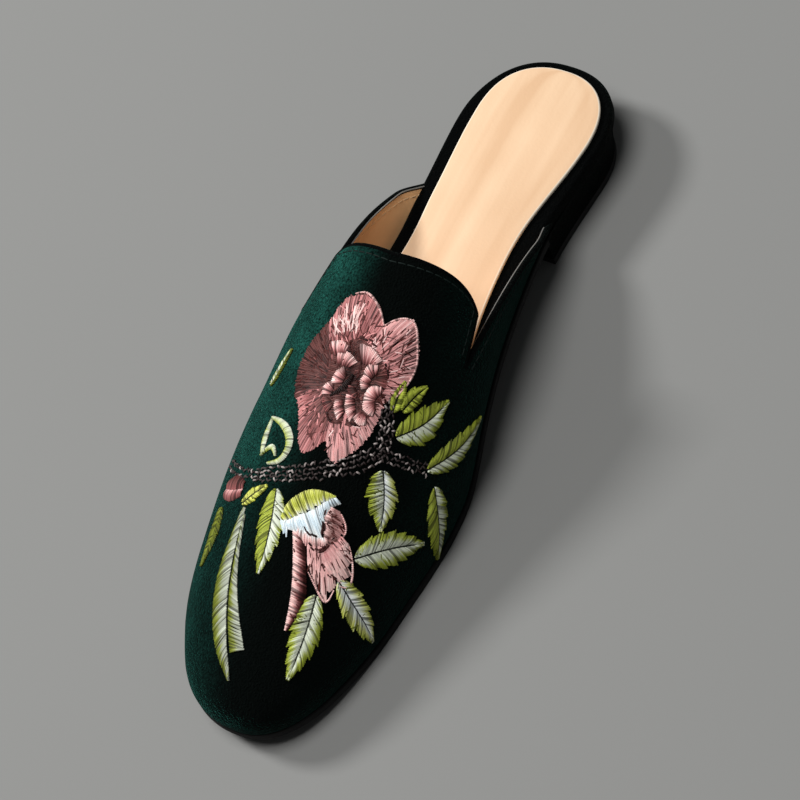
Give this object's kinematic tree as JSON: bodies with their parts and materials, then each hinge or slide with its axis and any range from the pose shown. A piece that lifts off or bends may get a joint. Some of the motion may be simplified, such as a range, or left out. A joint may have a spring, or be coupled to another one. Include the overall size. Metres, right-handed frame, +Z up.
{
  "type": "embroidered mule",
  "caption": "Backless velvet mule for the right foot: closed embroidered vamp with side slits, low block heel, padded tan sock lining and thin sole.",
  "frame": {"origin": "on the floor, under the middle of the shoe's bounding box", "axes": "+Z up from the floor, +Y towards the heel with the toe at -Y, +X towards the big toe's side"},
  "size_m": [0.074, 0.2474, 0.0652],
  "materials": {
    "velvet_green": "velvet pile",
    "velvet_dark": "velvet pile",
    "leather_tan": "smooth matt",
    "sole_black": "matt",
    "rubber_black": "matt"
  },
  "bodies": {
    "root": {"outsole": "sole_black", "insole": "velvet_dark", "sock_lining": "leather_tan", "heel": "velvet_dark", "heel_top_piece": "rubber_black", "upper": "velvet_green"}
  },
  "joints": []
}
